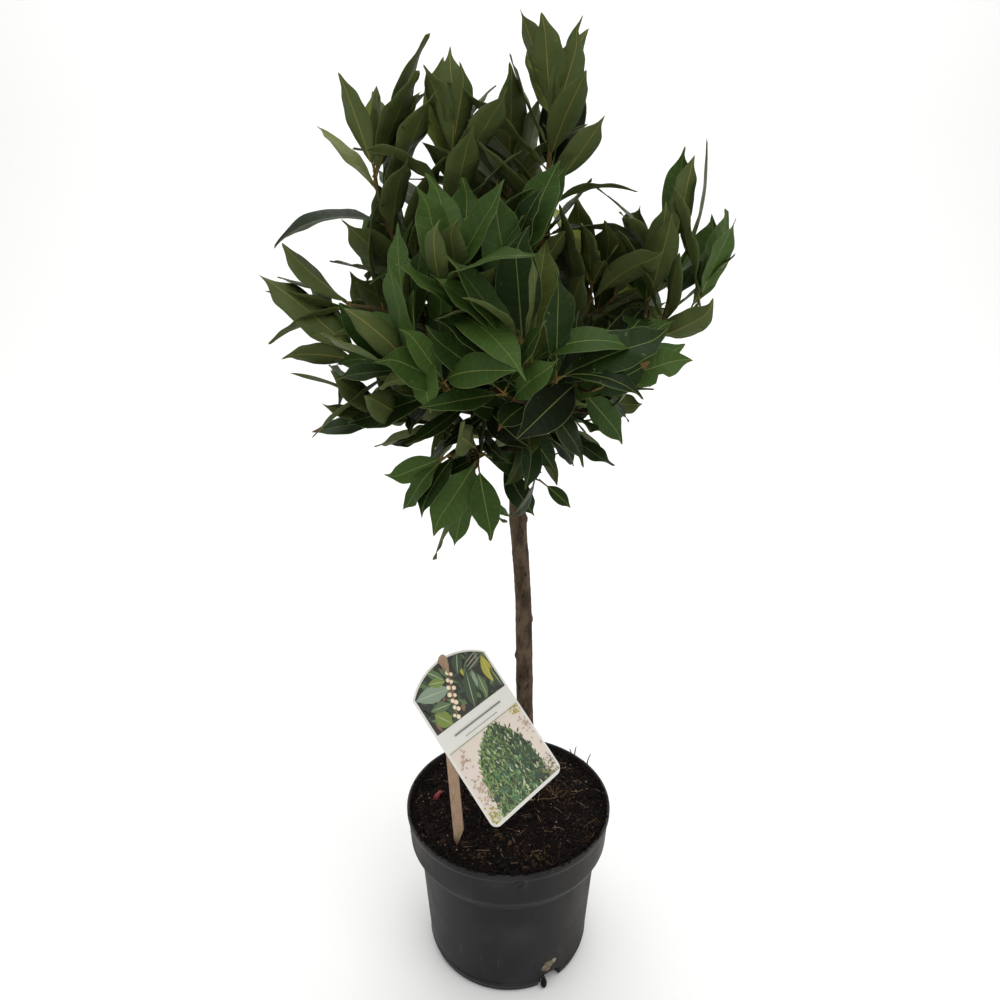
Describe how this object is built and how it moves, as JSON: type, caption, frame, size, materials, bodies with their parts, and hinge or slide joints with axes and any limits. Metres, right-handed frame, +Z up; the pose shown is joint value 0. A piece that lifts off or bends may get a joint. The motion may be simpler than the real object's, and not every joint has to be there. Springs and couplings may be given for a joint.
{
  "type": "potted standard bay topiary",
  "caption": "Young bay tree grown as a standard: one bare trunk with a loose head of upright leafy shoots, in a round black nursery pot with a plant label on a stick.",
  "frame": {"origin": "middle of the flat underside of the pot", "axes": "+Z up along the pot's axis; the plant's front, with the label, faces -Y; +X is to the right seen from the front"},
  "size_m": [0.34, 0.2434, 0.7971],
  "materials": {
    "black_plastic": "matte moulded black polypropylene, dusty and scuffed",
    "compost": "damp dark brown peat compost with fibres",
    "bark": "grey-brown rough bark with darker leaf scars",
    "shoot_bark": "smooth olive green young bark",
    "leaf": "leathery satin dark green leaves with yellow-green midribs",
    "label_card": "printed white plastic card, satin",
    "label_wood": "plain sawn softwood"
  },
  "bodies": {
    "root": {"pot": "black_plastic", "compost": "compost", "trunk": "bark", "bough_leader": "shoot_bark", "foliage_leader": "leaf", "bough_top_back": "shoot_bark", "foliage_top_back": "leaf", "bough_top_left": "shoot_bark", "foliage_top_left": "leaf", "bough_far_left": "shoot_bark", "foliage_far_left": "leaf", "bough_far_right": "shoot_bark", "foliage_far_right": "leaf", "bough_mid_right": "shoot_bark", "foliage_mid_right": "leaf", "bough_front_top": "shoot_bark", "foliage_front_top": "leaf", "bough_front_left_top": "shoot_bark", "foliage_front_left_top": "leaf", "bough_front": "shoot_bark", "foliage_front": "leaf", "bough_front_left": "shoot_bark", "foliage_front_left": "leaf", "bough_left_upper": "shoot_bark", "foliage_left_upper": "leaf", "bough_left_lower": "shoot_bark", "foliage_left_lower": "leaf", "bough_low_left": "shoot_bark", "foliage_low_left": "leaf", "bough_droop_left": "shoot_bark", "foliage_droop_left": "leaf", "bough_droop_right": "shoot_bark", "foliage_droop_right": "leaf", "bough_low_right": "shoot_bark", "foliage_low_right": "leaf", "bough_front_right": "shoot_bark", "foliage_front_right": "leaf", "bough_back": "shoot_bark", "foliage_back": "leaf", "bough_back_left": "shoot_bark", "foliage_back_left": "leaf", "bough_back_right": "shoot_bark", "foliage_back_right": "leaf", "bough_low_back_left": "shoot_bark", "foliage_low_back_left": "leaf", "bough_low_back_right": "shoot_bark", "foliage_low_back_right": "leaf", "bough_low_back": "shoot_bark", "foliage_low_back": "leaf", "label_card": "label_card", "label_stick": "label_wood"}
  },
  "joints": []
}
